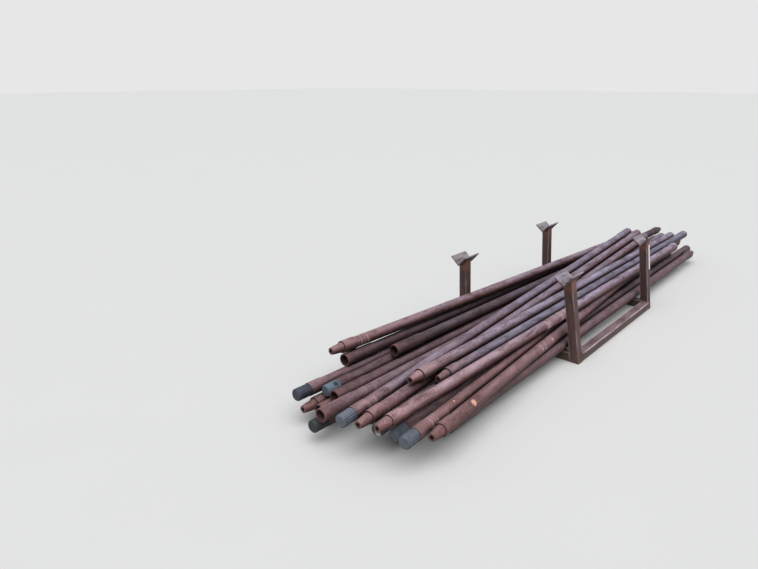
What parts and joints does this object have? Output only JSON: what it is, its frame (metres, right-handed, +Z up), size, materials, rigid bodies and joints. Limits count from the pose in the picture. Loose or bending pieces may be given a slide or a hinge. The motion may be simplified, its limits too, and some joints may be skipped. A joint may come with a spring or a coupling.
{
  "type": "stack of drill pipes",
  "caption": "Welded square-tube stacking rack with saddle-topped stakes, holding a loose stack of rusty drill pipes with pin and box ends, some with plastic thread protectors.",
  "frame": {"origin": "middle of the stack's footprint, on the floor", "axes": "+X along the pipes, from the near ends to the far ends; +Y across the rack, towards its back; +Z up"},
  "size_m": [3.7794, 0.7346, 0.433],
  "materials": {
    "pipe_steel": "rusted steel, reddish to purple brown, dull with a faint sheen",
    "rack_steel": "rusted mild steel, dark brown, dull",
    "protector_plastic": "weathered blue-grey and black plastic",
    "marker_plastic": "white plastic strip"
  },
  "bodies": {
    "root": {"cross_member_far": "rack_steel", "cross_member_near": "rack_steel", "drill_pipe_01": "pipe_steel", "drill_pipe_02": "pipe_steel", "drill_pipe_03": "pipe_steel", "drill_pipe_04": "pipe_steel", "drill_pipe_05": "pipe_steel", "drill_pipe_06": "pipe_steel", "drill_pipe_07": "pipe_steel", "drill_pipe_08": "pipe_steel", "drill_pipe_09": "pipe_steel", "drill_pipe_10": "pipe_steel", "drill_pipe_11": "pipe_steel", "drill_pipe_12": "pipe_steel", "drill_pipe_13": "pipe_steel", "drill_pipe_14": "pipe_steel", "drill_pipe_15": "pipe_steel", "drill_pipe_16": "pipe_steel", "drill_pipe_17": "pipe_steel", "drill_pipe_18": "pipe_steel", "drill_pipe_19": "pipe_steel", "drill_pipe_20": "pipe_steel", "drill_pipe_21": "pipe_steel", "drill_pipe_22": "pipe_steel", "drill_pipe_23": "pipe_steel", "drill_pipe_24": "pipe_steel", "drill_pipe_25": "pipe_steel", "marker_strip": "marker_plastic", "rail_back": "rack_steel", "rail_front": "rack_steel", "saddle_back_far": "rack_steel", "saddle_back_near": "rack_steel", "saddle_front_far": "rack_steel", "saddle_front_near": "rack_steel", "stake_back_far": "rack_steel", "stake_back_near": "rack_steel", "stake_front_far": "rack_steel", "stake_front_near": "rack_steel", "thread_protector_03": "protector_plastic", "thread_protector_06": "protector_plastic", "thread_protector_07": "protector_plastic", "thread_protector_10": "protector_plastic", "thread_protector_13": "protector_plastic", "thread_protector_15": "protector_plastic", "thread_protector_20": "protector_plastic", "thread_protector_22": "protector_plastic"}
  },
  "joints": []
}
